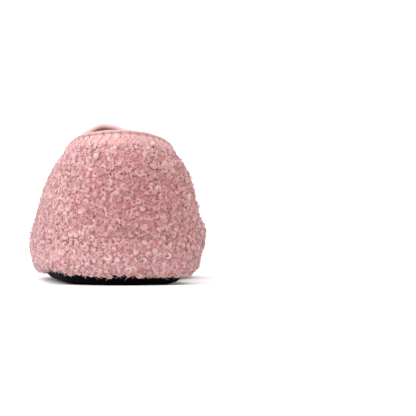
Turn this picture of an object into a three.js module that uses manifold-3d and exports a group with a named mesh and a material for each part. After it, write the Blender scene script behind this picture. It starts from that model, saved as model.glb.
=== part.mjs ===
// A closed-back fleece house slipper for the left foot, modelled as the separate pieces it is made of.
// Millimetres. +Z is up, +Y runs from heel to toe, +X is the medial (big toe) side.
//
// The upper is built from nested bodies: closed shapes like a shoe last, each one a set distance inside the
// outer face of the fleece. A layer of the upper is the space between two of them, cut along the topline.

import * as THREE from "three";
import { mergeVertices } from "three/addons/utils/BufferGeometryUtils.js";
import Module from "manifold-3d";

const wasm = await Module();
wasm.setup();

// ---------- driving dimensions ----------

const gap = 0.3; // between pieces that touch

// Outsole rim, seen from above
const soleLength = 248;
const heelWidth = 72;
const waistMedial = 31;
const waistLateral = 42;
const ballMedial = 43;
const ballLateral = 46.5;
const toeRound = 54; // depth of the rounded toe
const toeSwing = 6; // how far the toe tip leans to the medial side

// Sole stack, from the ground up
const outsoleFloor = 4;
const rimHeight = 10;
const rimWall = 2.2;
const rimFlare = 10.5; // the rim stands this far outside the contact face
const boardThickness = 1.5;
const foamThickness = 4;
const coverThickness = 3;
const grooveDepth = 1.4;
const grooveWidth = 2.6;
const groovePitch = 9;
const grooveMargin = 6; // from the edge of the contact face

// Layers of the upper, from the outside in
const fleeceThickness = 6.2;
const stiffenerThickness = 1.4;
const liningThickness = 2.2;
const fleeceOverhang = 8; // the fleece stands this far outside the rim
const fleeceBottom = 5; // height of its lower edge above the ground
const hemRise = 3.6; // the lower edge is this much higher beside the heel, on the lateral side
const rollInset = 5; // how far the lower edge tucks in under the widest line
const widestHeight = 22;
const widestTilt = 4.5; // the widest line is this much higher medially and lower laterally
const collarThinning = 0.4; // share of the wall's thickness that is left where it meets the collar
const throatThinning = 0.5; // and where the vamp ends at the throat
const heelFullness = 2.2; // exponent of the wall's rounded profile; lower is more pointed on top
const throatFullness = 1.6;
const toeFullness = 2.1;

// Ridge line of the upper: where the two sides meet on top
const ridgeBack = 32;
const ridgeFront = 208;
const heelRidge = 98;
const throatAt = 112;
const throatRidge = 91.6;
const throatShift = -9.5; // the instep's ridge lies a little to the lateral side
const ballAt = 168;
const ballRidge = 67;
const toeRidge = 53;

// Topline of the opening
const collarHeight = 83.5; // at the back
const dipAt = 66;
const dipHeight = 74;
const dipMedial = 4.4; // the topline is this much lower on the medial side
const dipLateral = 1.2; // and this much lower on the lateral side
const dipReach = 27; // at this distance from the heel's axis
const throatHeight = 89.2;
const bindingWall = 1.2;
const bindingLeg = 2.6;
const stitchedBand = 8.5; // the fleece is sewn flat this far down from the topline
const flattenedBy = 3.3; // and is this much thinner there

// Seams, stiffeners and trim
const sideSeamTop = throatAt - 15; // distance from the heel at collar height
const sideSeamFoot = throatAt + 12; // and at the ground
const counterLength = 72;
const counterTop = 56;
const puffAt = 205;
const collarPadDepth = 22;
const threadRadius = 0.4;
const zigzagPitch = 5;
const zigzagHeight = 3.6;
const labelWidth = 20;
const labelHeight = 12;
const labelThickness = 0.6;
const labelAt = 46;
const labelLevel = 44;

// Mesh fineness
const outlineSteps = 60;
const wallSteps = 10;
const rollSteps = 2;

// ---------- looks ----------

const material = (color, roughness) => new THREE.MeshStandardMaterial({ color, roughness, metalness: 0 });
const fleeceLook = material(0xd89a9c, 0.95);
const liningLook = material(0xdfaead, 0.95);
const bindingLook = material(0xe6b9b5, 0.6);
const threadLook = material(0xe0a9a8, 0.5);
const rubberLook = material(0x141314, 0.85);
const foamLook = material(0xe9e4dc, 0.9);
const boardLook = material(0xb9a58a, 0.9);
const stiffenerLook = material(0xd9d4c8, 0.7);
const labelLook = material(0xf1e6e2, 0.6);

// ---------- helpers ----------

// A smooth function of one variable through [x, value] pairs, level beyond both ends.
function through(pairs) {
  const slope = pairs.map((p, i) => {
    const before = pairs[Math.max(i - 1, 0)];
    const after = pairs[Math.min(i + 1, pairs.length - 1)];
    return (after[1] - before[1]) / (after[0] - before[0]);
  });
  return (x) => {
    if (x <= pairs[0][0]) return pairs[0][1];
    if (x >= pairs.at(-1)[0]) return pairs.at(-1)[1];
    const i = pairs.findIndex((p) => p[0] > x) - 1;
    const [x0, v0] = pairs[i];
    const [x1, v1] = pairs[i + 1];
    const w = x1 - x0;
    const t = (x - x0) / w;
    const a = (1 + 2 * t) * (1 - t) ** 2 * v0 + t * (1 - t) ** 2 * w * slope[i];
    const b = t * t * (3 - 2 * t) * v1 + t * t * (t - 1) * w * slope[i + 1];
    return a + b;
  };
}

// The solid inside a closed geometry.
function solid(geometry) {
  geometry.deleteAttribute("normal");
  geometry.deleteAttribute("uv");
  const merged = mergeVertices(geometry, 1e-4);
  return new wasm.Manifold(
    new wasm.Mesh({
      numProp: 3,
      vertProperties: merged.attributes.position.array,
      triVerts: new Uint32Array(merged.index.array),
    }),
  );
}

// A named mesh of a solid.
function piece(name, body, look) {
  const mesh = body.getMesh();
  const geometry = new THREE.BufferGeometry();
  geometry.setAttribute("position", new THREE.BufferAttribute(new Float32Array(mesh.vertProperties), 3));
  geometry.setIndex(new THREE.BufferAttribute(new Uint32Array(mesh.triVerts), 1));
  geometry.computeVertexNormals();
  const made = new THREE.Mesh(geometry, look);
  made.name = name;
  return made;
}

function geometryOf(points, triangles) {
  const geometry = new THREE.BufferGeometry();
  geometry.setAttribute("position", new THREE.Float32BufferAttribute(points.flat(), 3));
  geometry.setIndex(triangles.flat());
  return geometry;
}

// A face over a ring of n points that runs anticlockwise seen from above: a strip from the heel to the toe
// that joins each point with the one as far round on the other side.
function lid(n) {
  return steps(0, n / 2 - 1, n / 2 - 1).flatMap((i) => {
    const [a, b, c, d] = [i, i + 1, n - i - 1, (n - i) % n];
    return [...(b === c ? [] : [[a, b, c]]), ...(a === d ? [] : [[a, c, d]])];
  });
}

// A closed solid through rings of points that run anticlockwise seen from above. The first ring is closed
// with a face that looks down and the last with one that looks up.
function loft(rings) {
  const n = rings[0].length;
  const triangles = [];
  for (let r = 0; r + 1 < rings.length; r++) {
    for (let i = 0; i < n; i++) {
      const a = r * n + i;
      const b = r * n + ((i + 1) % n);
      triangles.push([a, b, b + n], [a, b + n, a + n]);
    }
  }
  const last = (rings.length - 1) * n;
  for (const [a, b, c] of lid(n)) triangles.push([a, c, b], [last + a, last + b, last + c]);
  return solid(geometryOf(rings.flat(), triangles));
}

// The space over a rectangle between two height functions of (x, y).
function blockBetween(low, high, xs, ys) {
  const nx = xs.length;
  const ny = ys.length;
  const points = [];
  for (const height of [low, high]) ys.forEach((y) => xs.forEach((x) => points.push([x, y, height(x, y)])));
  const at = (layer, i, j) => layer * nx * ny + j * nx + i;
  const triangles = [];
  const quad = (a, b, c, d) => triangles.push([a, b, c], [a, c, d]);
  for (let j = 0; j + 1 < ny; j++) {
    for (let i = 0; i + 1 < nx; i++) {
      quad(at(1, i, j), at(1, i + 1, j), at(1, i + 1, j + 1), at(1, i, j + 1));
      quad(at(0, i, j), at(0, i, j + 1), at(0, i + 1, j + 1), at(0, i + 1, j));
    }
  }
  for (let i = 0; i + 1 < nx; i++) {
    quad(at(0, i, 0), at(0, i + 1, 0), at(1, i + 1, 0), at(1, i, 0));
    quad(at(0, i + 1, ny - 1), at(0, i, ny - 1), at(1, i, ny - 1), at(1, i + 1, ny - 1));
  }
  for (let j = 0; j + 1 < ny; j++) {
    quad(at(0, 0, j + 1), at(0, 0, j), at(1, 0, j), at(1, 0, j + 1));
    quad(at(0, nx - 1, j), at(0, nx - 1, j + 1), at(1, nx - 1, j + 1), at(1, nx - 1, j));
  }
  return solid(geometryOf(points, triangles));
}

// A box from its lowest to its highest corner.
function box([x0, y0, z0], [x1, y1, z1]) {
  const geometry = new THREE.BoxGeometry(x1 - x0, y1 - y0, z1 - z0);
  return solid(geometry.translate((x0 + x1) / 2, (y0 + y1) / 2, (z0 + z1) / 2));
}

const far = 400; // well past the slipper in every direction
const layerBetween = (z0, z1) => box([-far, -far, z0], [far, far, z1]);
const steps = (from, to, count) => Array.from({ length: count + 1 }, (_, i) => from + ((to - from) * i) / count);

// ---------- plan outline ----------

const heelRadius = heelWidth / 2;
const toeStart = soleLength - toeRound;

// The rim's outline seen from above, anticlockwise from the back of the heel.
function rimCurve() {
  const arc = (count, from, to, at) => steps(from, to, count).map((turn) => at(turn * Math.PI));
  const heel = (a) => [heelRadius * Math.cos(a), heelRadius + heelRadius * Math.sin(a)];
  const toeMiddle = (ballMedial - ballLateral) / 2;
  const toeReach = (ballMedial + ballLateral) / 2 - 3;
  const toe = (a) => [toeMiddle + toeReach * Math.cos(a) + toeSwing * Math.sin(a), toeStart + toeRound * Math.sin(a)];
  const outline = [
    ...arc(3, 1.5, 1.95, heel),
    [waistMedial, soleLength * 0.4],
    [ballMedial, soleLength * 0.7],
    ...arc(6, 0.1, 0.9, toe),
    [-ballLateral, soleLength * 0.64],
    [-waistLateral, soleLength * 0.37],
    ...arc(3, 1.05, 1.5, heel).slice(0, -1),
  ];
  return new THREE.CatmullRomCurve3(outline.map(([x, y]) => new THREE.Vector3(x, y, 0)), true, "centripetal");
}

// Evenly spaced points of the rim with their outward directions.
const rim = (() => {
  const curve = rimCurve();
  return Array.from({ length: outlineSteps }, (_, i) => {
    const t = i / outlineSteps;
    const along = curve.getTangentAt(t);
    return { at: curve.getPointAt(t), out: new THREE.Vector3(along.y, -along.x, 0).normalize() };
  });
})();

// The rim's outline moved outwards, at one height.
const outlineRing = (grow, z) => rim.map(({ at, out }) => [at.x + out.x * grow, at.y + out.y * grow, z]);

// ---------- the upper's nested bodies ----------

const ridgeHeight = through([
  [ridgeBack, heelRidge],
  [dipAt + 20, heelRidge - 1],
  [throatAt, throatRidge],
  [ballAt, ballRidge],
  [ridgeFront - 16, toeRidge + 4.5],
  [ridgeFront, toeRidge],
]);
const ridgeShift = through([
  [ridgeBack, 0],
  [throatAt, throatShift],
  [ballAt, throatShift / 2],
  [ridgeFront, toeSwing / 2],
]);
const thinning = through([
  [ridgeBack, collarThinning],
  [dipAt + 16, collarThinning],
  [throatAt, throatThinning],
  [ballAt - 12, 1],
]);
const fullness = through([
  [ridgeBack, heelFullness],
  [throatAt, throatFullness],
  [ballAt, throatFullness],
  [ridgeFront, toeFullness],
]);
const ridgeY = (y) => ridgeBack + ((ridgeFront - ridgeBack) * y) / soleLength;
const hem = ({ x, y }) =>
  fleeceBottom + hemRise * Math.exp(-(((x + heelRadius) / 16) ** 2) - ((y - heelRadius) / 30) ** 2);
const lastTurn = 0.955; // the last ring stops just short of the ridge, and a narrow cap closes it

// A point on the body that lies `inside` mm under the fleece's face. Station i counts round the outline;
// turn runs from -1 at the lower edge, through 0 at the widest line, to 1 at the ridge.
function bodyPoint(i, turn, inside) {
  const { at, out } = rim[i];
  const grow = fleeceOverhang - inside;
  const widest = widestHeight + widestTilt * THREE.MathUtils.clamp(at.x / ballMedial, -1, 1);
  if (turn < 0) {
    const a = (-turn * Math.PI) / 2;
    const tucked = grow - rollInset * (1 - Math.cos(a));
    return [at.x + out.x * tucked, at.y + out.y * tucked, widest - (widest - hem(at)) * Math.sin(a)];
  }
  const x = at.x + out.x * grow;
  const y = at.y + out.y * grow;
  const ry = ridgeY(at.y);
  const a = (turn * Math.PI) / 2;
  const inward = 1 - Math.cos(a) ** (2 / fullness(ry));
  const upward = Math.sin(a) ** (2 / fullness(ry));
  const top = ridgeHeight(ry) - inside * thinning(ry);
  return [x + (ridgeShift(ry) - x) * inward, y + (ry - y) * inward, widest + (top - widest) * upward];
}

const bodies = new Map();

// The closed body `inside` mm under the fleece's face. All but the outermost run on down through the sole.
function bodyAt(inside) {
  if (!bodies.has(inside)) {
    const turns = [...steps(-1, 0, rollSteps), ...steps(0, lastTurn, wallSteps).slice(1)];
    const rings = turns.map((turn) => rim.map((_, i) => bodyPoint(i, turn, inside)));
    if (inside > 0) rings.unshift(rings[0].map(([x, y]) => [x, y, -rimHeight]));
    bodies.set(inside, loft(rings));
  }
  return bodies.get(inside);
}

const shell = (outer, inner) => bodyAt(outer).subtract(bodyAt(inner));

// ---------- topline ----------

const toplineProfile = through([
  [-20, collarHeight + 2],
  [8, collarHeight],
  [28, collarHeight - 2.3],
  [dipAt, dipHeight],
  [throatAt - 16, dipHeight + (throatHeight - dipHeight) * 0.25],
  [throatAt, throatHeight],
  [throatAt + 12, throatHeight + 20],
]);

function topline(x, y) {
  const t = THREE.MathUtils.clamp(y / throatAt, 0, 1);
  const tilt = x > 0 ? dipMedial : -dipLateral;
  return toplineProfile(y) - tilt * Math.sin(t * Math.PI) * THREE.MathUtils.clamp(x / dipReach, -2, 2);
}

// Everything that lies over the opening, from `lift` mm above the topline.
function overTopline(lift) {
  const low = (x, y) => topline(x, y) + lift;
  return blockBetween(low, () => 200, steps(-80, 80, 6), steps(-40, throatAt + 12, 20));
}

// ---------- sole ----------

function outsoleEnvelope(grow, top) {
  const rounds = [
    [-rimFlare, 0],
    [-rimFlare * 0.5, 1.2],
    [-rimFlare * 0.18, 4],
    [0, top],
  ];
  return rounds.map(([inset, z]) => outlineRing(inset + grow, z));
}

// Transverse grooves moulded in the underside, ending inside the contact face's edge.
function treadGrooves() {
  const field = loft([outlineRing(-rimFlare - grooveMargin, -1), outlineRing(-rimFlare - grooveMargin, grooveDepth)]);
  const rows = Math.floor((soleLength - 2 * (rimFlare + grooveMargin)) / groovePitch);
  const first = (soleLength - (rows - 1) * groovePitch) / 2;
  const bars = Array.from({ length: rows }, (_, i) => {
    const y = first + i * groovePitch;
    return box([-far, y - grooveWidth / 2, -2], [far, y + grooveWidth / 2, 2]);
  });
  return wasm.Manifold.union(bars).intersect(field);
}

function outsole() {
  const cup = loft([
    ...outsoleEnvelope(0, rimHeight),
    outlineRing(-rimWall, rimHeight),
    outlineRing(-rimWall - 0.8, outsoleFloor),
  ]);
  return cup.subtract(treadGrooves());
}

const midsoleInset = rimWall + 0.8 + gap;
const midsole = () => loft([outlineRing(-midsoleInset, outsoleFloor + gap), outlineRing(-midsoleInset, rimHeight - gap)]);

const boardBottom = rimHeight + gap;
const boardTop = boardBottom + boardThickness;
const foamBottom = boardTop + gap;
const foamTop = foamBottom + foamThickness;
const coverBottom = foamTop + gap;
const coverTop = coverBottom + coverThickness;

// ---------- layers of the upper, as depths under the fleece's face ----------

const stiffenerOuter = fleeceThickness + gap;
const stiffenerInner = stiffenerOuter + stiffenerThickness;
const liningOuter = stiffenerInner + gap;
const liningInner = liningOuter + liningThickness;
const footSpace = liningInner + gap;

// The seam between vamp and quarters is a plane that leans forward towards the ground.
function seamSide(sign, clearance) {
  const lean = Math.atan2(sideSeamFoot - sideSeamTop, collarHeight);
  const half = new THREE.BoxGeometry(2 * far, far, 2 * far).translate(0, sign * (far / 2 + clearance), 0);
  return solid(half.rotateX(lean).translate(0, sideSeamFoot, 0));
}
const inFront = () => seamSide(1, gap / 2);
const behind = () => seamSide(-1, gap / 2);

function fleeceShell() {
  const envelope = loft([outlineRing(gap, -5), ...outsoleEnvelope(gap, rimHeight + gap)]);
  const full = bodyAt(0).subtract(overTopline(-stitchedBand));
  const sewnFlat = bodyAt(flattenedBy).subtract(overTopline(0)).subtract(layerBetween(-far, widestHeight));
  return full.add(sewnFlat).subtract(bodyAt(fleeceThickness)).subtract(envelope);
}

const liningShell = () => shell(liningOuter, liningInner).subtract(layerBetween(-far, foamBottom)).subtract(overTopline(0));
const stiffenerLayer = () => shell(stiffenerOuter, stiffenerInner).subtract(layerBetween(-far, foamBottom));

function heelCounter() {
  return stiffenerLayer().intersect(box([-far, -far, 0], [far, counterLength, counterTop]));
}

function collarPadding() {
  const strip = overTopline(-collarPadDepth).subtract(overTopline(-bindingLeg - gap));
  return stiffenerLayer()
    .intersect(strip)
    .intersect(behind())
    .subtract(box([-far, -far, 0], [far, counterLength + gap, counterTop + gap]));
}

const toePuff = () => stiffenerLayer().intersect(box([-far, puffAt, 0], [far, far, far]));

function vampPadding() {
  return stiffenerLayer()
    .intersect(inFront())
    .intersect(box([-far, 0, 0], [far, puffAt - gap, far]))
    .subtract(overTopline(-bindingLeg - gap));
}

// A folded strip over the edge of all layers: an outer leg, a top and an inner leg.
function binding() {
  const outer = flattenedBy - gap - bindingWall;
  const inner = liningInner + gap + bindingWall;
  const strip = overTopline(-bindingLeg).subtract(overTopline(gap + bindingWall));
  const filling = shell(outer + bindingWall, inner - bindingWall).subtract(overTopline(gap));
  return shell(outer, inner).intersect(strip).subtract(filling);
}

// ---------- stitching ----------

// Where a function that falls with its argument, or rises with it, crosses zero.
function crossing(f, from, to) {
  const rising = f(from) < f(to);
  let [low, high] = [from, to];
  for (let k = 0; k < 40; k++) {
    const middle = (low + high) / 2;
    if (f(middle) < 0 === rising) low = middle;
    else high = middle;
  }
  return (low + high) / 2;
}

// A closed line that follows the topline at a drop below it, on the body `inside` mm under the face.
// Stations past the throat do not meet the topline: one point on the ridge stands for them all.
function toplineLoop(drop, inside) {
  const over = ([x, y, z]) => z - topline(x, y) + drop;
  const ridgePoint = (y) => [ridgeShift(y), y, ridgeHeight(y) - inside * thinning(y)];
  const throat = ridgePoint(crossing((y) => over(ridgePoint(y)), throatAt - 30, throatAt + 12));
  const points = [];
  rim.forEach((_, i) => {
    if (over(bodyPoint(i, lastTurn, inside)) > 0.5) {
      points.push(bodyPoint(i, crossing((turn) => over(bodyPoint(i, turn, inside)), 0, lastTurn), inside));
    } else if (points.at(-1) !== throat) points.push(throat);
  });
  return new THREE.CatmullRomCurve3(points.map((p) => new THREE.Vector3(...p)), true, "centripetal");
}

// One zigzag thread over the binding's lower edge and the flattened fleece. A larger radius gives the
// channel that the thread presses into the fleece where it is pulled tight.
function zigzagThread(radius) {
  const depth = flattenedBy - 2 * gap - threadRadius;
  const upper = toplineLoop(bindingLeg + gap + 2 * threadRadius, depth);
  const lower = toplineLoop(bindingLeg + gap + 2 * threadRadius + zigzagHeight, depth);
  const teeth = Math.round(upper.getLength() / zigzagPitch);
  const path = Array.from({ length: 2 * teeth }, (_, k) => {
    const t = k / (2 * teeth);
    return (k % 2 ? lower : upper).getPointAt(t);
  });
  const n = path.length;
  const sides = 4;
  const points = [];
  const triangles = [];
  for (let k = 0; k < n; k++) {
    const along = path[(k + 1) % n].clone().sub(path[(k + n - 1) % n]).normalize();
    const across = new THREE.Vector3(0, 0, 1).cross(along).normalize();
    const up = along.clone().cross(across);
    for (let s = 0; s < sides; s++) {
      const a = ((s + 0.5) / sides) * 2 * Math.PI;
      const offset = across.clone().multiplyScalar(Math.cos(a)).addScaledVector(up, Math.sin(a));
      points.push(path[k].clone().addScaledVector(offset, radius).toArray());
    }
    for (let s = 0; s < sides; s++) {
      const [a, b] = [k * sides + s, k * sides + ((s + 1) % sides)];
      const [c, d] = [((k + 1) % n) * sides + s, ((k + 1) % n) * sides + ((s + 1) % sides)];
      triangles.push([a, b, d], [a, d, c]);
    }
  }
  return solid(geometryOf(points, triangles));
}

// A blank label on the inside of the medial quarter.
function sizeLabel() {
  const patch = box([0, labelAt, labelLevel], [far, labelAt + labelWidth, labelLevel + labelHeight]);
  return shell(footSpace, footSpace + labelThickness).intersect(patch);
}

// ---------- assembly ----------

const fleece = fleeceShell().subtract(zigzagThread(threadRadius + gap));
const quarters = fleece.intersect(behind());
const lining = liningShell();

const slipper = new THREE.Group();
slipper.add(
  piece("outsole", outsole(), rubberLook),
  piece("midsole", midsole(), foamLook),
  piece("insole_board", bodyAt(stiffenerOuter).intersect(layerBetween(boardBottom, boardTop)), boardLook),
  piece("footbed_foam", bodyAt(footSpace).intersect(layerBetween(foamBottom, foamTop)), foamLook),
  piece("footbed_cover", bodyAt(footSpace).intersect(layerBetween(coverBottom, coverTop)), liningLook),
  piece("vamp_fleece", fleece.intersect(inFront()), fleeceLook),
  piece("quarter_lateral_fleece", quarters.intersect(box([-far, -far, -far], [-gap / 2, far, far])), fleeceLook),
  piece("quarter_medial_fleece", quarters.intersect(box([gap / 2, -far, -far], [far, far, far])), fleeceLook),
  piece("vamp_lining", lining.intersect(inFront()), liningLook),
  piece("quarter_lining", lining.intersect(behind()), liningLook),
  piece("heel_counter", heelCounter(), stiffenerLook),
  piece("toe_puff", toePuff(), stiffenerLook),
  piece("collar_padding", collarPadding(), foamLook),
  piece("vamp_padding", vampPadding(), foamLook),
  piece("topline_binding", binding(), bindingLook),
  piece("binding_stitching", zigzagThread(threadRadius), threadLook),
  piece("size_label", sizeLabel(), labelLook),
);

// The origin is the middle of the slipper's own box, on the ground.
const extent = new THREE.Box3().setFromObject(slipper);
const middle = extent.getCenter(new THREE.Vector3());
slipper.position.set(-middle.x, -middle.y, -extent.min.z);

export default slipper;
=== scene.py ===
"""Looks of the fleece house slipper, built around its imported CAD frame.

Lengths in this file are millimetres in the slipper's design frame: y = 0 at the back of the sole's rim,
x = 0 on the heel's axis, z = 0 on the ground. `to_frame` turns them into metres in the CAD frame.
"""

import math

import bpy
import numpy as np
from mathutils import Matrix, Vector, noise


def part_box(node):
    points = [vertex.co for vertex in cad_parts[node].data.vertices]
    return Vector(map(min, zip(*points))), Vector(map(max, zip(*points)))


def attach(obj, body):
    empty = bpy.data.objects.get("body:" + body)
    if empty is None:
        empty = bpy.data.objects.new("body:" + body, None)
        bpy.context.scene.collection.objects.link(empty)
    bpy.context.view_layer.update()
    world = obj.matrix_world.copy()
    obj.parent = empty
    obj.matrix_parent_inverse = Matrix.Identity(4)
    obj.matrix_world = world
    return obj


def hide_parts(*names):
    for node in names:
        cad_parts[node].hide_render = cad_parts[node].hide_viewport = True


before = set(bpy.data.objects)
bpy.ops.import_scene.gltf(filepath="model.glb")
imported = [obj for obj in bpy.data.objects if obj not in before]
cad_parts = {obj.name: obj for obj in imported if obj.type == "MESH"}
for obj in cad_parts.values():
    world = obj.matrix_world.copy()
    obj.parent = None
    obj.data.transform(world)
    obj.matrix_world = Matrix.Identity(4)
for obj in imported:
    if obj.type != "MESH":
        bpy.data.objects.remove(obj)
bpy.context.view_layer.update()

# ---------- dimensions shared with part.mjs ----------

SOLE_LENGTH = 248
HEEL_RADIUS = 36
WAIST_MEDIAL, WAIST_LATERAL = 31, 42
BALL_MEDIAL, BALL_LATERAL = 43, 46.5
TOE_ROUND, TOE_SWING = 54, 6
COVER_TOP = 19.4
OVERHANG, FLEECE_BOTTOM, ROLL_INSET = 8, 5, 5
WIDEST, WIDEST_TILT = 22, 4.5
COLLAR_THINNING, THROAT_THINNING = 0.4, 0.5
HEM_RISE, HEM_LIFT = 3.6, 1.4
HEEL_FULL, THROAT_FULL, TOE_FULL = 2.2, 1.6, 2.1
RIDGE_BACK, RIDGE_FRONT = 32, 208
HEEL_RIDGE, THROAT_RIDGE, BALL_RIDGE, TOE_RIDGE = 98, 91.6, 67, 53
THROAT_AT, THROAT_SHIFT, BALL_AT = 112, -9.5, 168
COLLAR_HEIGHT, DIP_AT, DIP_HEIGHT, THROAT_HEIGHT = 83.5, 66, 74, 89.2
DIP_MEDIAL, DIP_LATERAL, DIP_REACH = 4.4, 1.2, 27
STITCHED_BAND = 8.5
SEAM_TOP, SEAM_FOOT = 97, 124
LINING_INNER = 10.4
BINDING_LEG = 1.3

# ---------- dimensions of the visual model ----------

BINDING_DEPTH, BAND_DEPTH = 2.6, 3.2  # how far the binding and the zigzag's band lie under the fleece's face
PILE_ROOT = 2.0  # how far under that face the backing lies elsewhere
BACKING_THICKNESS, LINING_THICKNESS, FOOTBED_THICKNESS = 1.6, 1.8, 3
STITCH_PITCH, THREAD_RADIUS = 5.0, 0.26
PANELS = {  # each panel's stretch of the outline
    "vamp": (0.245, 0.745),
    "quarter_lateral": (0.735, 1.0),
    "quarter_medial": (0.0, 0.255),
}
RIM_STEPS = 1440
BACKING_ROWS, BACKING_COLUMNS, LINING_ROWS = 110, 560, 70
BINDING_STEPS, BINDING_ARCH = 1200, 17
CURL_STEPS, CURL_SIDES = 7, 5
LOCK_SAMPLES, LOCK_SPACING = 90000, 2.0
FOOTBED_SAMPLES, FOOTBED_SPACING, FOOTBED_PILE_FRONT = 9000, 1.7, 150
FIBRES = 40000
MOST_CURLS, MOST_FIBRES = 2400, 19000  # in one piece
NEAR_RIDGE = 0.99  # the highest turn at which a normal is taken

rng = np.random.default_rng(7)

# ---------- frame ----------

RIM_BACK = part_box("outsole")[0].y * 1000
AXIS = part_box("quarter_lateral_fleece")[1].x * 1000 + 0.15
ORIGIN = np.array([AXIS, RIM_BACK, 0.0])


def to_frame(points):
    return (np.asarray(points, float) + ORIGIN) / 1000


# ---------- the upper's surfaces ----------


def through(pairs):
    """A smooth function of one variable through (x, value) pairs, level beyond both ends."""
    xs, vs = np.array(pairs, float).T
    before = np.maximum(np.arange(len(xs)) - 1, 0)
    after = np.minimum(np.arange(len(xs)) + 1, len(xs) - 1)
    slopes = (vs[after] - vs[before]) / (xs[after] - xs[before])

    def f(x):
        x = np.clip(x, xs[0], xs[-1])
        i = np.clip(np.searchsorted(xs, x, side="right") - 1, 0, len(xs) - 2)
        w = xs[i + 1] - xs[i]
        t = (x - xs[i]) / w
        a = (1 + 2 * t) * (1 - t) ** 2 * vs[i] + t * (1 - t) ** 2 * w * slopes[i]
        return a + t * t * (3 - 2 * t) * vs[i + 1] + t * t * (t - 1) * w * slopes[i + 1]

    return f


def even_steps(points, count):
    """Distances along a closed line at each of its points and at `count` even steps, and its length."""
    closed = np.concatenate([points, points[:1]])
    length = np.concatenate([[0], np.cumsum(np.linalg.norm(np.diff(closed, axis=0), axis=1))])
    return length, np.linspace(0, length[-1], count, endpoint=False), length[-1]


def sampled(even, length, values):
    """A closed line's values at even steps along it."""
    closed = np.concatenate([values, values[:1]])
    return np.stack([np.interp(even, length, closed[:, k]) for k in range(closed.shape[1])], 1)


def rim_table(count):
    """Evenly spaced points of the sole's rim and their outward directions, anticlockwise from the heel."""

    def arc(n, a, b, at):
        return [at(t * math.pi) for t in np.linspace(a, b, n + 1)]

    toe_start = SOLE_LENGTH - TOE_ROUND
    middle, reach = (BALL_MEDIAL - BALL_LATERAL) / 2, (BALL_MEDIAL + BALL_LATERAL) / 2 - 3

    def heel(a):
        return (HEEL_RADIUS * math.cos(a), HEEL_RADIUS * (1 + math.sin(a)))

    def toe(a):
        x = middle + reach * math.cos(a) + TOE_SWING * math.sin(a)
        return (x, toe_start + TOE_ROUND * math.sin(a))

    outline = np.array(
        arc(3, 1.5, 1.95, heel)
        + [(WAIST_MEDIAL, SOLE_LENGTH * 0.4), (BALL_MEDIAL, SOLE_LENGTH * 0.7)]
        + arc(6, 0.1, 0.9, toe)
        + [(-BALL_LATERAL, SOLE_LENGTH * 0.64), (-WAIST_LATERAL, SOLE_LENGTH * 0.37)]
        + arc(3, 1.05, 1.5, heel)[:-1]
    )
    n = len(outline)
    dense = []
    for i in range(n):
        p0, p1, p2, p3 = (outline[(i + k - 1) % n] for k in range(4))
        d0, d1, d2 = (math.sqrt(np.linalg.norm(b - a)) for a, b in ((p0, p1), (p1, p2), (p2, p3)))
        t1 = ((p1 - p0) / d0 - (p2 - p0) / (d0 + d1) + (p2 - p1) / d1) * d1
        t2 = ((p2 - p1) / d1 - (p3 - p1) / (d1 + d2) + (p3 - p2) / d2) * d1
        s = np.linspace(0, 1, 60, endpoint=False)[:, None]
        second, third = 3 * (p2 - p1) - 2 * t1 - t2, 2 * (p1 - p2) + t1 + t2
        dense.append(p1 + t1 * s + second * s**2 + third * s**3)
    dense = np.concatenate(dense)
    length, even, _ = even_steps(dense, count)
    at = sampled(even, length, dense)
    along = np.roll(at, -4, 0) - np.roll(at, 4, 0)
    along /= np.linalg.norm(along, axis=1)[:, None]
    return at, np.stack([along[:, 1], -along[:, 0]], 1)


RIM_AT, RIM_OUT = rim_table(RIM_STEPS)

ridge_height = through(
    [
        (RIDGE_BACK, HEEL_RIDGE),
        (DIP_AT + 20, HEEL_RIDGE - 1),
        (THROAT_AT, THROAT_RIDGE),
        (BALL_AT, BALL_RIDGE),
        (RIDGE_FRONT - 16, TOE_RIDGE + 4.5),
        (RIDGE_FRONT, TOE_RIDGE),
    ]
)
ridge_shift = through(
    [(RIDGE_BACK, 0), (THROAT_AT, THROAT_SHIFT), (BALL_AT, THROAT_SHIFT / 2), (RIDGE_FRONT, TOE_SWING / 2)]
)
fullness = through(
    [(RIDGE_BACK, HEEL_FULL), (THROAT_AT, THROAT_FULL), (BALL_AT, THROAT_FULL), (RIDGE_FRONT, TOE_FULL)]
)
thinning = through(
    [
        (RIDGE_BACK, COLLAR_THINNING),
        (DIP_AT + 16, COLLAR_THINNING),
        (THROAT_AT, THROAT_THINNING),
        (BALL_AT - 12, 1),
    ]
)
topline_profile = through(
    [
        (-20, COLLAR_HEIGHT + 2),
        (8, COLLAR_HEIGHT),
        (28, COLLAR_HEIGHT - 2.3),
        (DIP_AT, DIP_HEIGHT),
        (THROAT_AT - 16, DIP_HEIGHT + (THROAT_HEIGHT - DIP_HEIGHT) * 0.25),
        (THROAT_AT, THROAT_HEIGHT),
        (THROAT_AT + 12, THROAT_HEIGHT + 20),
    ]
)


def periodic(table, u):
    x = np.mod(u, 1.0) * RIM_STEPS
    i = np.floor(x).astype(int) % RIM_STEPS
    f = (x - np.floor(x))[..., None]
    return table[i] * (1 - f) + table[(i + 1) % RIM_STEPS] * f


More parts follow.
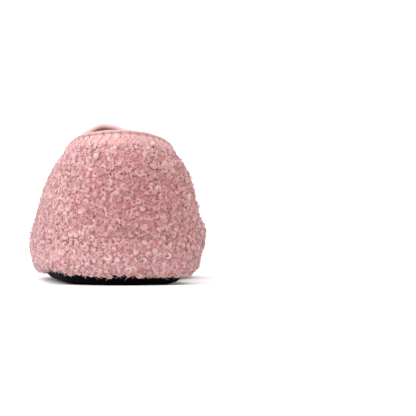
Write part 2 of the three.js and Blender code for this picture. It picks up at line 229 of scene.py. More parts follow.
def body(u, turn, inside):
    """Points of the closed surface `inside` mm under the fleece's face. u goes round the outline from the
    heel; turn is -1 at the lower edge, 0 at the widest line and 1 at the ridge."""
    u, turn, inside = np.broadcast_arrays(np.asarray(u, float), turn, inside)
    at, out = periodic(RIM_AT, u), periodic(RIM_OUT, u)
    grow = OVERHANG - inside
    widest = WIDEST + WIDEST_TILT * np.clip(at[..., 0] / BALL_MEDIAL, -1, 1)
    down = np.clip(-turn, 0, 1) * math.pi / 2
    tucked = grow - ROLL_INSET * (1 - np.cos(down))
    x, y = at[..., 0] + out[..., 0] * tucked, at[..., 1] + out[..., 1] * tucked
    ry = RIDGE_BACK + (RIDGE_FRONT - RIDGE_BACK) * at[..., 1] / SOLE_LENGTH
    up = np.clip(turn, 0, 1) * math.pi / 2
    power = 2 / fullness(ry)
    inward, upward = 1 - np.clip(np.cos(up), 0, 1) ** power, np.sin(up) ** power
    top = ridge_height(ry) - inside * thinning(ry)
    side = ((at[..., 0] + HEEL_RADIUS) / 16) ** 2 + ((at[..., 1] - HEEL_RADIUS) / 30) ** 2
    hem = FLEECE_BOTTOM + HEM_LIFT + HEM_RISE * np.exp(-side)
    z = np.where(turn < 0, widest - (widest - hem) * np.sin(down), widest + (top - widest) * upward)
    return np.stack([x + (ridge_shift(ry) - x) * inward, y + (ry - y) * inward, z], -1)


def topline(x, y):
    t = np.clip(y / THROAT_AT, 0, 1)
    tilt = np.where(x > 0, DIP_MEDIAL, -DIP_LATERAL)
    return topline_profile(y) - tilt * np.sin(t * math.pi) * np.clip(x / DIP_REACH, -2, 2)


def drop(p):
    """How far a point lies under the topline."""
    return topline(p[..., 0], p[..., 1]) - p[..., 2]


def unit(v):
    return v / np.maximum(np.linalg.norm(v, axis=-1, keepdims=True), 1e-9)


def normals(u, turn, inside):
    """Outward directions of a body's surface."""
    e = 2e-3
    du = body(u + e, turn, inside) - body(u - e, turn, inside)
    low, high = np.clip(turn - e * 2, -1, 1), np.clip(turn + e * 2, -1, 1)
    dt = body(u, high, inside) - body(u, low, inside)
    return unit(np.cross(du, dt))


def turn_at_drop(u, wanted, inside):
    """The turn at which each column u lies `wanted` under the topline, or nan past the throat."""
    u = np.asarray(u, float)
    low, high = np.zeros_like(u), np.ones_like(u)
    missing = drop(body(u, high, inside)) > wanted
    for _ in range(36):
        middle = (low + high) / 2
        under = drop(body(u, middle, inside)) > wanted
        low, high = np.where(under, middle, low), np.where(under, high, middle)
    return np.where(missing, np.nan, (low + high) / 2)


def topline_loop(wanted, inside, count=900):
    """A closed, evenly spaced line that keeps `wanted` mm under the topline, with outward directions."""
    u = np.linspace(0, 1, 2400, endpoint=False)
    turn = turn_at_drop(u, wanted, inside)
    keep = ~np.isnan(turn)
    points, outward = body(u[keep], turn[keep], inside), normals(u[keep], turn[keep], inside)
    length, even, whole = even_steps(points, count)
    line, facing = sampled(even, length, points), sampled(even, length, outward)
    return soften(line, 9), unit(soften(facing, 15)), whole


def soften(line, width):
    """A closed line averaged over a window."""
    kernel = np.hanning(width + 2)[1:-1]
    kernel /= kernel.sum()
    half = width // 2
    padded = np.concatenate([line[-half:], line, line[:half]])
    return np.stack([np.convolve(padded[:, k], kernel, mode="valid") for k in range(line.shape[1])], 1)


def value_noise(points, scale, seed=0.0):
    """Smooth noise from -1 to 1 at each point; scale is the size of its features in mm."""
    offset = Vector((seed * 17.3, seed * 5.1, seed * 9.7))
    return np.array([noise.noise(Vector(p) / scale + offset) for p in np.asarray(points).reshape(-1, 3)])


# ---------- mesh making ----------


def facing_out(vertices, groups):
    """The faces, turned round if together they enclose a negative volume."""
    volume = 0.0
    for g in groups:
        for k in range(1, g.shape[1] - 1):
            volume += (vertices[g[:, 0]] * np.cross(vertices[g[:, k]], vertices[g[:, k + 1]])).sum()
    return groups if volume > 0 else [g[:, ::-1] for g in groups]


def mesh_piece(name, vertices, faces, material, uv=None):
    """A mesh object in the CAD frame from points in mm and faces of 3 or more corners."""
    mesh = bpy.data.meshes.new(name)
    groups = facing_out(vertices, faces if isinstance(faces, list) else [faces])
    flat = np.concatenate([g.ravel() for g in groups]).astype(np.int32)
    sizes = np.concatenate([np.full(len(g), g.shape[1]) for g in groups]).astype(np.int32)
    starts = np.concatenate([[0], np.cumsum(sizes)[:-1]]).astype(np.int32)
    mesh.vertices.add(len(vertices))
    mesh.vertices.foreach_set("co", to_frame(vertices).astype(np.float32).ravel())
    mesh.loops.add(len(flat))
    mesh.loops.foreach_set("vertex_index", flat)
    mesh.polygons.add(len(sizes))
    mesh.polygons.foreach_set("loop_start", starts)
    mesh.polygons.foreach_set("loop_total", sizes)
    if uv is not None:
        layer = mesh.uv_layers.new(name="OFBake")
        layer.data.foreach_set("uv", np.asarray(uv, np.float32)[flat].ravel())
    mesh.update(calc_edges=True)
    mesh.validate()
    mesh.shade_smooth()
    mesh.materials.append(material)
    made = bpy.data.objects.new(name, mesh)
    bpy.context.scene.collection.objects.link(made)
    return made


def grid_faces(rows, columns):
    """Quads of a grid of points, row after row."""
    r, c = np.meshgrid(np.arange(rows - 1), np.arange(columns - 1), indexing="ij")
    a, b = r * columns + c, r * columns + c + 1
    return np.stack([a, b, b + columns, a + columns], -1).reshape(-1, 4)


def tube_faces(length, sides, closed):
    """Quads of a tube: `length` rings of `sides` points."""
    r, s = np.arange(length if closed else length - 1), np.arange(sides)
    r, s = np.meshgrid(r, s, indexing="ij")
    n = (r + 1) % length
    t = (s + 1) % sides
    return np.stack([r * sides + s, r * sides + t, n * sides + t, n * sides + s], -1).reshape(-1, 4)


def tube_ends(length, sides):
    """The two end faces of an open tube."""
    ring = np.arange(sides)
    return np.stack([ring[::-1], ring + sides * (length - 1)])


def copies(groups, count, per):
    """Faces of `count` copies of a small mesh of `per` vertices, one after the other."""
    first = (np.arange(count) * per)[:, None, None]
    return [(g[None] + first).reshape(-1, g.shape[1]) for g in groups]


def dress(piece, slot, *nodes):
    """The piece rides on the slipper's one body and stands for CAD nodes, which are hidden; slot is not
    used.
    """
    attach(piece, "root")
    if nodes:
        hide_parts(*nodes)
    return piece


# ---------- materials ----------


class Look:
    """A node material under construction."""

    def __init__(self, name):
        self.material = bpy.data.materials.new(name)
        self.material.use_nodes = True
        self.tree = self.material.node_tree
        self.shader = self.tree.nodes["Principled BSDF"]

    def node(self, kind, **values):
        made = self.tree.nodes.new("ShaderNode" + kind)
        for key, value in values.items():
            if key in made.inputs:
                made.inputs[key].default_value = value
            else:
                setattr(made, key, value)
        return made

    def link(self, a, b):
        self.tree.links.new(a, b)

    def set(self, **values):
        for key, value in values.items():
            self.shader.inputs[key.replace("_", " ")].default_value = value

    def texture(self, kind, scale, **values):
        """A 3D texture whose scale is given as its feature size in mm."""
        coordinates = self.node("TexCoord")
        made = self.node("Tex" + kind, **values)
        made.inputs["Scale"].default_value = 1000 / scale
        self.link(coordinates.outputs["Object"], made.inputs["Vector"])
        return made

    def ramp(self, source, stops):
        made = self.node("ValToRGB")
        while len(made.color_ramp.elements) < len(stops):
            made.color_ramp.elements.new(0.5)
        for element, (at, colour) in zip(made.color_ramp.elements, stops):
            element.position = at
            element.color = (*colour, 1)
        self.link(source, made.inputs["Fac"])
        return made

    def multiply(self, a, b):
        made = self.node("Mix", data_type="RGBA", blend_type="MULTIPLY")
        made.inputs["Factor"].default_value = 1.0
        self.link(a, made.inputs[6])
        self.link(b, made.inputs[7])
        return made.outputs[2]

    def bump(self, source, distance, strength):
        made = self.node("Bump")
        made.inputs["Strength"].default_value = strength
        made.inputs["Distance"].default_value = distance / 1000
        self.link(source, made.inputs["Height"])
        self.link(made.outputs["Normal"], self.shader.inputs["Normal"])


STUDIO = 1.33  # how much brighter the studio's light is than what just turns a white surface white


def linear(r, g, b):
    """The linear colour of a surface that shows as this 8-bit display colour in the studio's light."""
    return tuple(((c / 255 + 0.055) / 1.055) ** 2.4 / STUDIO for c in (r, g, b))


def pile_look(name, root, middle, tip, sheen=0.3):
    """Fleece: colour runs from a deeper, redder root to a paler tip along each lock, as painted shade and
    painted highlight, and from lock to lock, as random tone and as painted light and shade by place, with a
    fibrous grain.
    """
    look = Look(name)
    uv = look.node("UVMap", uv_map="OFBake")
    parts = look.node("SeparateXYZ")
    look.link(uv.outputs["UV"], parts.inputs["Vector"])
    # root to tip: the deeper root is painted shade low in the pile, the paler tip a painted highlight
    height = look.ramp(parts.outputs["Y"], [(0.0, root), (0.5, middle), (1.0, tip)])
    # UV's first value: low values paint the pile deeper and redder, as painted shade and as random tone
    tone = look.ramp(parts.outputs["X"], [(0.0, (0.76, 0.57, 0.56)), (1.0, (1.0, 1.0, 1.0))])
    fibres = look.texture("Noise", 0.5, Detail=3.0)
    grain = look.ramp(fibres.outputs["Fac"], [(0.3, (0.84, 0.8, 0.8)), (0.7, (1.0, 1.0, 1.0))])
    toned = look.multiply(height.outputs["Color"], tone.outputs["Color"])
    look.link(look.multiply(toned, grain.outputs["Color"]), look.shader.inputs["Base Color"])
    look.bump(fibres.outputs["Fac"], 0.2, 0.7)
    look.set(Roughness=0.95, Sheen_Weight=sheen, Sheen_Roughness=0.5)
    look.shader.inputs["Sheen Tint"].default_value = (*linear(250, 225, 225), 1)
    look.shader.inputs["Specular IOR Level"].default_value = 0.15
    return look.material


def knit_look(name, colour, deep, rib, painted_highlight=None):
    """Smooth knitted binding or thread with fine ribs. A painted highlight colour, if given, paints a paler
    line along the strip as painted highlight, where its UV's second value is about 0.4."""
    look = Look(name)
    cloud = look.texture("Noise", 6.0, Detail=2.0)
    base = look.ramp(cloud.outputs["Fac"], [(0.3, deep), (0.7, colour)])
    if painted_highlight is None:
        look.link(base.outputs["Color"], look.shader.inputs["Base Color"])
    else:
        parts = look.node("SeparateXYZ")
        look.link(look.node("UVMap", uv_map="OFBake").outputs["UV"], parts.inputs["Vector"])
        off, on = (0, 0, 0), (1, 1, 1)
        # painted highlight: a paler line across the strip where the UV's second value is about 0.4
        painted_light_share = look.ramp(parts.outputs["Y"], [(0.1, off), (0.34, on), (0.46, on), (0.75, off)])
        blend = look.node("Mix", data_type="RGBA")
        blend.inputs[7].default_value = (*painted_highlight, 1)
        look.link(painted_light_share.outputs["Color"], blend.inputs["Factor"])
        look.link(base.outputs["Color"], blend.inputs[6])
        look.link(blend.outputs[2], look.shader.inputs["Base Color"])
    weave = look.texture("Voronoi", rib)
    look.bump(weave.outputs["Distance"], 0.08, 0.5)
    look.set(Roughness=0.6, Sheen_Weight=0.3, Sheen_Roughness=0.4)
    look.shader.inputs["Specular IOR Level"].default_value = 0.3
    return look.material


def rubber_look():
    look = Look("rubber_look")
    cloud = look.texture("Noise", 14.0, Detail=4.0)
    base = look.ramp(cloud.outputs["Fac"], [(0.35, linear(4, 4, 4)), (0.75, linear(10, 9, 9))])
    look.link(base.outputs["Color"], look.shader.inputs["Base Color"])
    grain = look.texture("Noise", 0.5, Detail=5.0)
    look.bump(grain.outputs["Fac"], 0.15, 0.7)
    look.set(Roughness=0.85)
    look.shader.inputs["Specular IOR Level"].default_value = 0.04
    return look.material


def plain_look(name, colour, deep, grain, roughness):
    """Foam, board and stiffener sheet: an even colour with fine grain."""
    look = Look(name)
    cells = look.texture("Voronoi", grain)
    base = look.ramp(cells.outputs["Distance"], [(0.1, deep), (0.8, colour)])
    look.link(base.outputs["Color"], look.shader.inputs["Base Color"])
    look.bump(cells.outputs["Distance"], 0.15, 0.5)
    look.set(Roughness=roughness)
    return look.material


# root, middle and tip colours: the deeper root is painted shade, the paler tip a painted highlight
fleece = pile_look("fleece_look", linear(234, 160, 158), linear(228, 174, 173), linear(232, 197, 197))
plush = pile_look(
    "plush_look", linear(170, 102, 97), linear(206, 142, 138), linear(228, 172, 168), sheen=0.2
)
# binding colour, mottled, with a paler line along its top as painted highlight
binding_look = knit_look(
    "binding_look", linear(204, 166, 164), linear(192, 150, 149), 0.7, painted_highlight=linear(222, 184, 182)
)
thread_look = knit_look("thread_look", linear(230, 190, 188), linear(222, 180, 178), 0.4)
# dark red beads at the stitch dimples: painted shade
dimple_shade_look = knit_look("dimple_shade_look", linear(196, 104, 112), linear(180, 88, 96), 0.3)
fuzz_look = pile_look(
    "fuzz_look", linear(226, 170, 171), linear(238, 198, 199), linear(246, 222, 222), sheen=0.4
)
rubber = rubber_look()

# ---------- pile ----------


def scatter(points, spacing):
    """Indices of points, taken in order, that keep at least `spacing` from each other."""
    cells, kept = {}, []
    keys = np.floor(points / spacing).astype(int)
    around = [(i, j, k) for i in (-1, 0, 1) for j in (-1, 0, 1) for k in (-1, 0, 1)]
    limit = spacing * spacing
    for n, (x, y, z) in enumerate(points.tolist()):
        a, b, c = keys[n].tolist()
        for i, j, k in around:
            near = cells.get((a + i, b + j, c + k))
            if near and any((x - p) ** 2 + (y - q) ** 2 + (z - r) ** 2 < limit for p, q, r in near):
                break
        else:
            cells.setdefault((a, b, c), []).append((x, y, z))
            kept.append(n)
    return np.array(kept)


def surface_samples(count, inside, turns):
    """Random columns and turns, spread evenly over a body's area."""
    us = np.linspace(0, 1, 361)
    ts = np.linspace(*turns, 90)
    p = body(us[:, None], ts[None, :], inside)
    a, b, c = p[1:, :-1] - p[:-1, :-1], p[:-1, 1:] - p[:-1, :-1], p[1:, 1:] - p[:-1, :-1]
    area = (np.linalg.norm(np.cross(a, c), axis=-1) + np.linalg.norm(np.cross(c, b), axis=-1)).ravel()
    cell = rng.choice(len(area), count, p=area / area.sum())
    i, j = np.divmod(cell, len(ts) - 1)
    u = us[i] + rng.random(count) * (us[1] - us[0])
    t = ts[j] + rng.random(count) * (ts[1] - ts[0])
    return u, t


def painted_light_tone(p):
    """How pale the pile is painted at each point, as painted light and shade: paler under the collar and
    above the sole as painted light, deeper around the heel and a little deeper on the medial side as
    painted shade."""
    collar = np.exp(-((np.clip(drop(p), 0, 40) / 12) ** 2))
    foot = np.exp(-(((p[..., 2] - 8) / 11) ** 2))
    heel = np.exp(-(((p[..., 2] - 50) / 24) ** 2) - ((p[..., 0] - 10) / 30) ** 2 - (p[..., 1] / 60) ** 2)
    medial = np.clip(p[..., 0] / 40, -1, 1)
    return 0.5 + 0.42 * collar + 0.3 * foot - 0.35 * heel - 0.12 * medial


def spun(up):
    """For each outward direction, two directions at right angles to it and each other, turned at random."""
    spin = rng.random(len(up)) * 2 * math.pi
    side = unit(np.cross(up, np.where(np.abs(up[:, 2:]) > 0.9, [1.0, 0, 0], [0, 0, 1.0])))
    other = np.cross(up, side)
    run = side * np.cos(spin)[:, None] + other * np.sin(spin)[:, None]
    return run, np.cross(up, run)


def split(name, roots, most):
    """The name and the indices of each piece that a set of locks is cut into, from the heel forward."""
    order = np.argsort(roots[:, 1], kind="stable")
    parts = np.array_split(order, max(1, math.ceil(len(roots) / most)))
    for index, part in enumerate(parts):
        yield name if len(parts) == 1 else f"{name}_{index + 1}", part


def curls(name, roots, up, size, rise, material, thickness=1.2):
    """Soft locks that curl up out of a surface and back, as one or more pieces. roots and up are one point
    and one outward direction a lock; size is its width and rise its height in mm."""
    n = len(roots)
    t1, t2 = spun(up)
    lean = rng.uniform(0.0, 0.42, n)[:, None]
    upright = unit(t2 * (1 - lean) + up * lean)
    turns = rng.uniform(0.7, 1.25, n)[:, None] * 2 * math.pi * rng.choice([-1, 1], n)[:, None]
    s = np.linspace(0, 1, CURL_STEPS)[None, :]
    angle = turns * s
    radius = size[:, None] / 2 * (1 - 0.3 * s)
    height = rise[:, None] * np.sin(math.pi * np.clip(0.12 + s * 0.85, 0, 1)) ** 0.7
    drift = rng.normal(0, 0.45, (n, 1, 3)) * np.sin(math.pi * s)[..., None]
    line = (
        roots[:, None]
        + (radius * np.cos(angle))[..., None] * t1[:, None]
        + (radius * np.sin(angle))[..., None] * upright[:, None]
        + height[..., None] * up[:, None]
        + drift
    )
    along = unit(np.gradient(line, axis=1))
    first = unit(np.cross(along, np.broadcast_to(up[:, None], along.shape) + 1e-4))
    second = np.cross(along, first)
    taper = 0.55 + 0.45 * np.sin(math.pi * np.clip(s, 0.04, 0.96)) ** 0.6
    thick = (thickness * rng.uniform(0.75, 1.2, n)[:, None] * taper)[..., None]
    rings = []
    for k in range(CURL_SIDES):
        a = 2 * math.pi * k / CURL_SIDES
        rings.append(line + first * (thick * math.cos(a)) + second * (thick * math.sin(a)))
    rings = np.stack(rings, 2)  # curl, step, side, xyz
    reach = rise[:, None, None] + thickness
    # height up each lock: the material paints the root deeper as painted shade and the tip paler as painted
    # highlight
    level = ((rings - roots[:, None, None]) * up[:, None, None]).sum(-1) / reach
    # tone: painted light and shade by place, plus random tone from lock to lock
    tone = np.clip(painted_light_tone(roots) + 0.3 * value_noise(roots, 9.0, 3.0) + rng.normal(0, 0.15, n), 0, 1)
    groups = tube_faces(CURL_STEPS, CURL_SIDES, False), tube_ends(CURL_STEPS, CURL_SIDES)
    per = CURL_STEPS * CURL_SIDES
    made = []
    for label, part in split(name, roots, MOST_CURLS):
        uv = np.stack([np.repeat(tone[part], per), np.clip(level[part], 0, 1).reshape(-1)], 1)
        faces = copies(groups, len(part), per)
        made.append(mesh_piece(label, rings[part].reshape(-1, 3), faces, material, uv))
    return made


def fuzz(name, roots, up, length, material):
    """Loose fibres: thin bent spikes that lie over the locks, each from its root to a point."""
    n = len(roots)
    run, aside = spun(up)
    bend = aside * rng.normal(0, 0.35, n)[:, None]
    climb = rng.uniform(0.1, 0.5, n)[:, None]
    middle = roots + (run * 0.5 + bend + up * climb) * length[:, None]
    tip = roots + (run * 0.95 + up * climb * rng.uniform(0.2, 1.3, n)[:, None]) * length[:, None]
    thick = rng.uniform(0.09, 0.16, n)[:, None]
    corners = []
    for point, share in ((roots, 1.0), (middle, 0.8)):
        for k in range(3):
            a = 2 * math.pi * k / 3
            across = np.cross(run, up) * math.cos(a) + up * math.sin(a)
            corners.append(point + across * thick * share)
    corners = np.stack(corners + [tip], 1)
    quads = np.array([[0, 1, 4, 3], [1, 2, 5, 4], [2, 0, 3, 5]])
    triangles = np.array([[2, 1, 0], [3, 4, 6], [4, 5, 6], [5, 3, 6]])
    # tone: painted light and shade by place, plus random tone; the levels paint a paler tip as painted
    # highlight
    tone = np.clip(painted_light_tone(roots) + rng.normal(0.1, 0.22, n), 0, 1)
    levels = [0.1, 0.1, 0.1, 0.6, 0.6, 0.6, 1.0]  # root, middle and tip
    made = []
    for label, part in split(name, roots, MOST_FIBRES):
        uv = np.stack([np.repeat(tone[part], len(levels)), np.tile(levels, len(part))], 1)
        faces = copies((quads, triangles), len(part), len(levels))
        made.append(mesh_piece(label, corners[part].reshape(-1, 3), faces, material, uv))
    return made


def seam_distance(p):
    """How far in front of the side seam's plane each point lies."""
    lean = math.atan2(SEAM_FOOT - SEAM_TOP, COLLAR_HEIGHT)
    return (p[..., 1] - SEAM_FOOT) * math.cos(lean) + p[..., 2] * math.sin(lean)


def panel_of(p):
    """0 for the vamp, 1 for the lateral quarter, 2 for the medial quarter."""
    return np.where(seam_distance(p) > 0, 0, np.where(p[..., 0] < 0, 1, 2))


def pile_depth(p):
    """How far under the fleece's face its backing lies: deeper where it is sewn flat under the binding."""
    flat = 1 - np.clip((drop(p) - 5.5) / 11, 0, 1)
    flat = flat * flat * (3 - 2 * flat)
    return PILE_ROOT + (BAND_DEPTH - PILE_ROOT) * flat, flat


def relief(p):
    """Slow unevenness of the fleece, in mm outwards: soft lumps, the crease and roll above the sole and the
    groove along the side seam."""
    lumps = 0.7 * value_noise(p, 26, 1.0) + 0.45 * value_noise(p, 11, 2.0)
    crease_at = 25 + 1.5 * np.sin(p[:, 0] / 13)
    heel = np.exp(-((p[:, 1] / 75) ** 2))
    crease = -1.5 * heel * np.exp(-(((p[:, 2] - crease_at) / 2.6) ** 2))
    roll = (2.5 * heel - 1.6) * np.exp(-(((p[:, 2] - 13) / 7) ** 2))
    low = np.clip((STITCHED_BAND + 8 - drop(p)) / 8, 0, 1)
    clumps = 0.45 * value_noise(p, 5.5, 6.0)
    seam = -1.1 * np.exp(-((seam_distance(p) / 1.8) ** 2))
    return (lumps + clumps + crease + roll + seam) * (1 - low)


def outer_pile():
    """Curls all over the outer fleece, one set a panel."""
    u, t = surface_samples(LOCK_SAMPLES, PILE_ROOT, (-1.0, 0.985))
    p = body(u, t, PILE_ROOT)
    keep = drop(p) > BINDING_LEG + 4.3 + 2.2 * rng.random(len(p)) ** 2
    u, t, p = u[keep], t[keep], p[keep]
    chosen = scatter(p, LOCK_SPACING)
    u, t = u[chosen], t[chosen]
    base = body(u, t, PILE_ROOT)
    depth, flat = pile_depth(base)
    up = normals(u, t, PILE_ROOT)
    roots = body(u, t, depth) + up * relief(base)[:, None]
    n = len(roots)
    size = rng.uniform(1.7, 3.4, n) * (1 - 0.4 * flat)
    rise = rng.uniform(0.05, 0.55, n) * (1 - 0.75 * flat)
    panel = panel_of(roots)
    again = rng.integers(0, n, FIBRES)
    start = roots[again] + rng.normal(0, 0.7, (FIBRES, 3)) + up[again] * (rise[again] + 0.35)[:, None]
    length = rng.uniform(1.6, 3.4, FIBRES) * (1 - 0.5 * flat[again])
    for k, name in enumerate(PANELS):
        loose = panel[again] == k
        for piece in fuzz(name + "_fuzz", start[loose], up[again][loose], length[loose], fuzz_look):
            dress(piece, "fleece")
        mine = panel == k
        for piece in curls(name + "_curls", roots[mine], up[mine], size[mine], rise[mine], fleece):
            dress(piece, "fleece")


def upright_grid(us, rows, lowest, wanted, inside):
    """Columns and turns of a grid from the turn `lowest` up to `wanted` mm under the topline, or to the
    ridge past the throat, and the grid's shape."""
    top = turn_at_drop(us, wanted, inside)
    top = np.where(np.isnan(top), 1.0, top)
    ts = lowest + (top[:, None] - lowest) * np.linspace(0, 1, rows)[None, :]
    return np.broadcast_to(us[:, None], ts.shape).ravel(), ts.ravel(), ts.shape


def fleece_backing():
    """The fleece under its curls: one closed shell a panel, with a woolly surface."""
    for name, (start, stop) in PANELS.items():
        us = np.linspace(start, stop, int(BACKING_COLUMNS * (stop - start)))
        grid_u, grid_t, shape = upright_grid(us, BACKING_ROWS, -1, BINDING_LEG - 0.4, BAND_DEPTH)
        base = body(grid_u, grid_t, PILE_ROOT)
        depth, flat = pile_depth(base)
        up = normals(grid_u, np.minimum(grid_t, NEAR_RIDGE), PILE_ROOT)
        wool = 1.3 * np.sqrt(np.abs(value_noise(base, 3.2, 4.0))) - 0.25 + 0.3 * value_noise(base, 1.4, 5.0)
        outer = body(grid_u, grid_t, depth) + up * (relief(base) + wool * (1 - 0.75 * flat))[:, None]
        inner = body(grid_u, grid_t, depth + BACKING_THICKNESS)
        # level: paler on the woolly bumps and in the flattened band as painted highlight and painted light,
        # deeper in the hollows as painted shade
        yield name, outer, inner, np.clip(0.25 + 0.6 * wool + 0.26 * flat, 0, 1), shape


def shell(outer, inner, shape):
    """Vertices and faces of a closed shell between two grids of the same shape."""
    rows, columns = shape
    n = rows * columns
    front = grid_faces(rows, columns)
    back = front[:, ::-1] + n
    index = np.arange(n).reshape(shape)
    edge = np.concatenate([index[0, :], index[1:, -1], index[-1, -2::-1], index[-2:0:-1, 0]])
    after = np.roll(edge, -1)
    sides = np.stack([after, edge, edge + n, after + n], 1)
    return np.concatenate([outer, inner]), np.concatenate([front, back, sides])


def fleece_panels():
    for name, outer, inner, level, shape in fleece_backing():
        vertices, faces = shell(outer, inner, shape)
        levels = np.concatenate([level, np.full_like(level, 0.1)])
        # first UV value: painted light and shade by place
        uv = np.stack([np.clip(painted_light_tone(vertices), 0, 1), levels], 1)
        dress(mesh_piece(name + "_backing", vertices, faces, fleece, uv), "fleece", name + "_fleece")


# ---------- binding and stitching ----------


def binding():
    """The bound edge: a strip rolled over the wall, with a dimple at each stitch along its lower edge."""
    count = BINDING_STEPS
    outer, _, length = topline_loop(0.0, BINDING_DEPTH, count)
    inner, _, _ = topline_loop(0.0, LINING_INNER + 0.9, count)
    throat = np.clip((outer[:, 1:2] - DIP_AT - 16) / 24, 0, 1)
    across = (inner - outer) * (1 - 0.42 * throat)
    along = unit(np.roll(outer, -2, 0) - np.roll(outer, 2, 0))
    up = unit(np.cross(along, across))
    up = np.where(up[:, 2:] < 0, -up, up)
    stitches = round(length / STITCH_PITCH)
    way = np.arange(count) / count
    phase = way * stitches
    pull = np.exp(-(((phase - np.round(phase)) / 0.16) ** 2))
    wave = 0.12 * np.sin(way * 2 * math.pi * 23) + 0.1 * np.sin(way * 2 * math.pi * 7)
    arch = np.linspace(0, math.pi, BINDING_ARCH)
    rings = []
    for a in arch:
        share = (1 - math.cos(a)) / 2
        height = -BINDING_LEG + (BINDING_LEG + 1.5) * math.sin(a) ** 0.55
        low = math.exp(-((a / 0.3) ** 2))
        swell = 0.55 * math.sin(min(a * 2, math.pi)) ** 2 * (a < math.pi / 2)
        point = outer + across * share + up * (height + wave * math.sin(a))[:, None]
        rings.append(point - unit(across) * (swell + 0.2 - (0.8 * pull + 0.45) * low)[:, None])
    for share in (0.85, 0.5, 0.15):
        rings.append(outer + across * share + up * (0.2 - BINDING_LEG))
    rings = np.stack(rings, 1)
    sides = rings.shape[1]
    across_share = np.tile(np.concatenate([np.linspace(0, 1, len(arch)), [1.0, 1.0, 0.0]]), count)
    # painted highlight: its line moves inwards towards the throat, so the top of the rim there gets less of
    # it
    highlight_shift = np.repeat(1 - 0.4 * throat, sides)  # moves the pale line inwards towards the throat
    uv = np.stack([np.full_like(across_share, 0.5), across_share * highlight_shift], 1)
    faces = tube_faces(count, sides, True)[:, ::-1]
    piece = mesh_piece("rolled_binding", rings.reshape(-1, 3), faces, binding_look, uv)
    dress(piece, "binding", "topline_binding")


def thread_between(name, upper, lower, span, stitches, shift):
    """A zigzag thread between two lines, `span` of their `stitches` long: a ring if that is all of them. It
    dips in at each turn."""
    closed = span == stitches
    per = 24
    s = np.arange(int(round(span * per)) + (not closed)) / per
    saw = 2 * np.abs((s + shift) - np.round(s + shift))
    count = len(upper)
    at = (s / stitches * count) % count
    i = np.floor(at).astype(int) % count
    f = (at - np.floor(at))[:, None]
    a = upper[i] * (1 - f) + upper[(i + 1) % count] * f
    b = lower[i] * (1 - f) + lower[(i + 1) % count] * f
    line = a * (1 - saw)[:, None] + b * saw[:, None]
    out = unit(np.cross(np.roll(a, -1, 0) - np.roll(a, 1, 0), b - a))
    collar_middle = np.array([0, 60, line[:, 2].mean()])
    out = np.where((out * (line - collar_middle)).sum(1, keepdims=True) < 0, -out, out)
    line = line + out * (0.35 * np.sin(math.pi * saw) ** 0.6 - 0.15)[:, None]
    along = np.roll(line, -1, 0) - np.roll(line, 1, 0) if closed else np.gradient(line, axis=0)
    along = unit(along)
    side = unit(np.cross(along, out))
    top = np.cross(side, along)
    sides = 6
    turns = np.arange(sides) / sides * 2 * math.pi
    rings = [line + THREAD_RADIUS * (side * math.cos(t) + top * math.sin(t)) for t in turns]
    rings = np.stack(rings, 1)
    groups = [tube_faces(len(line), sides, closed)]
    if not closed:
        groups.append(tube_ends(len(line), sides))
    return mesh_piece(name, rings.reshape(-1, 3), groups, thread_look)


def stitch_shade_beads(name, line, out, stitches, shift, size):
    """Small flat beads along a line where each stitch is pulled into the fleece, coloured dark red as
    painted shade in the dimples there.
    """
    rows, columns = 5, 8
    height, width, sunk = 0.45, 0.7, 0.1
    at = np.round((np.arange(stitches) + shift) / stitches * len(line)).astype(int) % len(line)
    middle, outward = line[at] - out[at] * sunk, out[at]
    along = unit(np.roll(line, -2, 0)[at] - np.roll(line, 2, 0)[at])
    across = np.cross(outward, along)
    tilt = np.linspace(-1, 1, rows + 2)[1:-1] * math.pi / 2
    spin = np.arange(columns) / columns * 2 * math.pi
    beads = [middle - outward * size * height]
    for t in tilt:
        for a in spin:
            flat = along * math.cos(a) + across * math.sin(a) * width
            beads.append(middle + (flat * math.cos(t) + outward * math.sin(t) * height) * size)
    beads = np.stack(beads + [middle + outward * size * height], 1)
    tube = tube_faces(rows, columns, False) + 1
    last = rows * columns + 1
    ring = np.arange(columns)
    following = (ring + 1) % columns
    caps = np.concatenate(
        [
            np.stack([following + 1, ring + 1, np.zeros_like(ring)], 1),
            np.stack([ring + last - columns, following + last - columns, np.full_like(ring, last)], 1),
        ]
    )
    groups = copies((tube[:, ::-1], caps[:, ::-1]), stitches, last + 1)
    return mesh_piece(name, beads.reshape(-1, 3), groups, dimple_shade_look)


def stitching():
    """The zigzag over the binding's lower edge, its ends overlapped at the heel, and dark beads at its
    pulled-in turns, coloured as painted shade in the dimples there.
    """
    upper, out, length = topline_loop(BINDING_LEG + 0.3, BAND_DEPTH - 0.25)
    lower, low_out, _ = topline_loop(BINDING_LEG + 3.9, BAND_DEPTH - 0.25)
    stitches = round(length / STITCH_PITCH)
    ring = thread_between("zigzag_thread", upper, lower, stitches, stitches, 0)
    dress(ring, "thread", "binding_stitching")
    dress(thread_between("zigzag_overlap", upper, lower, 1.75, stitches, 0.5), "thread")
    dress(stitch_shade_beads("binding_shade_dots", upper, out, stitches, 0.0, 0.75), "thread")
    dress(stitch_shade_beads("zigzag_shade_dots", lower, low_out, stitches, 0.5, 0.5), "thread")


# ---------- inside ----------


